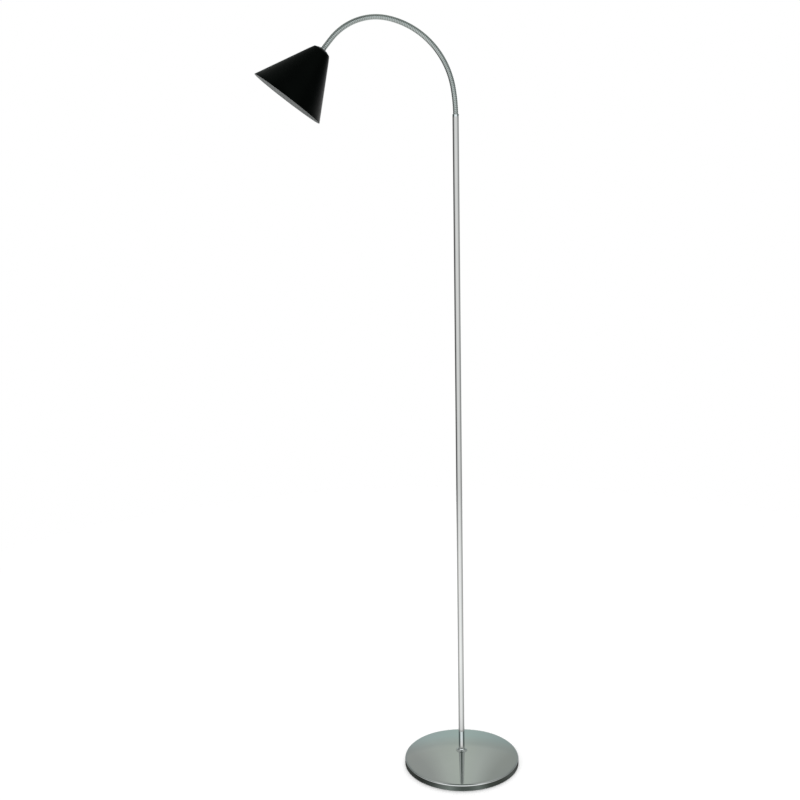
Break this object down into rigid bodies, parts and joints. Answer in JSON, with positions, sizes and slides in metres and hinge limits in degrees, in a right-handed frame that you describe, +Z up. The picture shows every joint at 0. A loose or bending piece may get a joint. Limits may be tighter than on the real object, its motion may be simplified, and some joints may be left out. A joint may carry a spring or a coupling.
{
  "type": "gooseneck reading floor lamp",
  "caption": "Floor lamp with a weighted round foot, a slim upright pole, a bendable ribbed arm curving over and a small conical shade with a bulb.",
  "frame": {"origin": "middle of the foot's underside, on the pole's axis and on the floor", "axes": "+Z up along the pole; the arm curves over towards -X in the XZ plane; the cord inlet is at +Y"},
  "size_m": [0.4743, 0.231, 1.4658],
  "materials": {
    "chrome_plate": "polished chrome plate",
    "arm_chrome": "chromed wound wire",
    "zinc_steel": "zinc plated",
    "cast_iron": "rough casting",
    "foam_pad": "foam",
    "grommet_rubber": "moulded rubber",
    "black_enamel": "satin black outside, white inside",
    "lead_sleeve": "pvc sleeve",
    "white_moulding": "white thermosetting plastic",
    "contact_brass": "bright brass",
    "bulb_cap_metal": "bright aluminium",
    "frosted_glass": "inside-frosted glass"
  },
  "bodies": {
    "stand": {"base_cover": "chrome_plate", "base_weight": "cast_iron", "base_pad": "foam_pad", "cord_gland": "grommet_rubber", "foot_collar": "chrome_plate", "base_stud": "zinc_steel", "stud_washer": "zinc_steel", "stud_lock_washer": "zinc_steel", "stud_nut": "zinc_steel", "pole_lower": "chrome_plate", "pole_upper": "chrome_plate", "pole_coupler": "zinc_steel", "terminal_block": "white_moulding", "terminal_screws": "contact_brass", "lead_in_pole": "lead_sleeve", "neck_socket": "chrome_plate", "neck_root": "arm_chrome"},
    "arm_1": {"neck_link_01": "arm_chrome", "lead_in_neck_01": "lead_sleeve"},
    "arm_2": {"neck_link_02": "arm_chrome", "lead_in_neck_02": "lead_sleeve"},
    "arm_3": {"neck_link_03": "arm_chrome", "lead_in_neck_03": "lead_sleeve"},
    "arm_4": {"neck_link_04": "arm_chrome", "lead_in_neck_04": "lead_sleeve"},
    "arm_5": {"neck_link_05": "arm_chrome", "lead_in_neck_05": "lead_sleeve"},
    "arm_6": {"neck_link_06": "arm_chrome", "lead_in_neck_06": "lead_sleeve"},
    "arm_7": {"neck_link_07": "arm_chrome", "lead_in_neck_07": "lead_sleeve"},
    "arm_8": {"neck_link_08": "arm_chrome", "lead_in_neck_08": "lead_sleeve"},
    "arm_9": {"neck_link_09": "arm_chrome", "lead_in_neck_09": "lead_sleeve"},
    "head": {"neck_link_10": "arm_chrome", "lead_in_neck_10": "lead_sleeve", "neck_nipple": "zinc_steel", "shade": "black_enamel", "shade_washer": "zinc_steel", "shade_nut": "zinc_steel", "holder_cap": "white_moulding", "holder_skirt": "white_moulding", "holder_base": "white_moulding", "holder_shell": "contact_brass", "holder_contact": "contact_brass", "bulb_cap": "bulb_cap_metal", "bulb_glass": "frosted_glass"}
  },
  "joints": [
    {"name": "arm_bend_1", "type": "hinge", "parent": "stand", "child": "arm_1", "pos_m": [-0.00023, 0, 1.2983], "axis": [0, -1, 0], "range_deg": [-20, 11]},
    {"name": "arm_bend_2", "type": "hinge", "parent": "arm_1", "child": "arm_2", "pos_m": [-0.00368, 0, 1.33331], "axis": [0, -1, 0], "range_deg": [-20, 11]},
    {"name": "arm_sway_3", "type": "hinge", "parent": "arm_2", "child": "arm_3", "pos_m": [-0.01286, 0, 1.36721], "axis": [-0.9284, 0, -0.3715], "range_deg": [-15, 15]},
    {"name": "arm_bend_4", "type": "hinge", "parent": "arm_3", "child": "arm_4", "pos_m": [-0.02961, 0, 1.39808], "axis": [0, -1, 0], "range_deg": [-20, 11]},
    {"name": "arm_bend_5", "type": "hinge", "parent": "arm_4", "child": "arm_5", "pos_m": [-0.05304, 0, 1.42424], "axis": [0, -1, 0], "range_deg": [-20, 11]},
    {"name": "arm_sway_6", "type": "hinge", "parent": "arm_5", "child": "arm_6", "pos_m": [-0.08188, 0, 1.44429], "axis": [-0.4714, 0, -0.8819], "range_deg": [-15, 15]},
    {"name": "arm_bend_7", "type": "hinge", "parent": "arm_6", "child": "arm_7", "pos_m": [-0.11457, 0, 1.45713], "axis": [0, -1, 0], "range_deg": [-20, 11]},
    {"name": "arm_bend_8", "type": "hinge", "parent": "arm_7", "child": "arm_8", "pos_m": [-0.14942, 0, 1.46079], "axis": [0, -1, 0], "range_deg": [-20, 11]},
    {"name": "arm_sway_9", "type": "hinge", "parent": "arm_8", "child": "arm_9", "pos_m": [-0.18354, 0, 1.45283], "axis": [0.3866, 0, -0.9223], "range_deg": [-15, 15]},
    {"name": "arm_bend_10", "type": "hinge", "parent": "arm_9", "child": "head", "pos_m": [-0.21313, 0, 1.43408], "axis": [0, -1, 0], "range_deg": [-20, 11]}
  ]
}
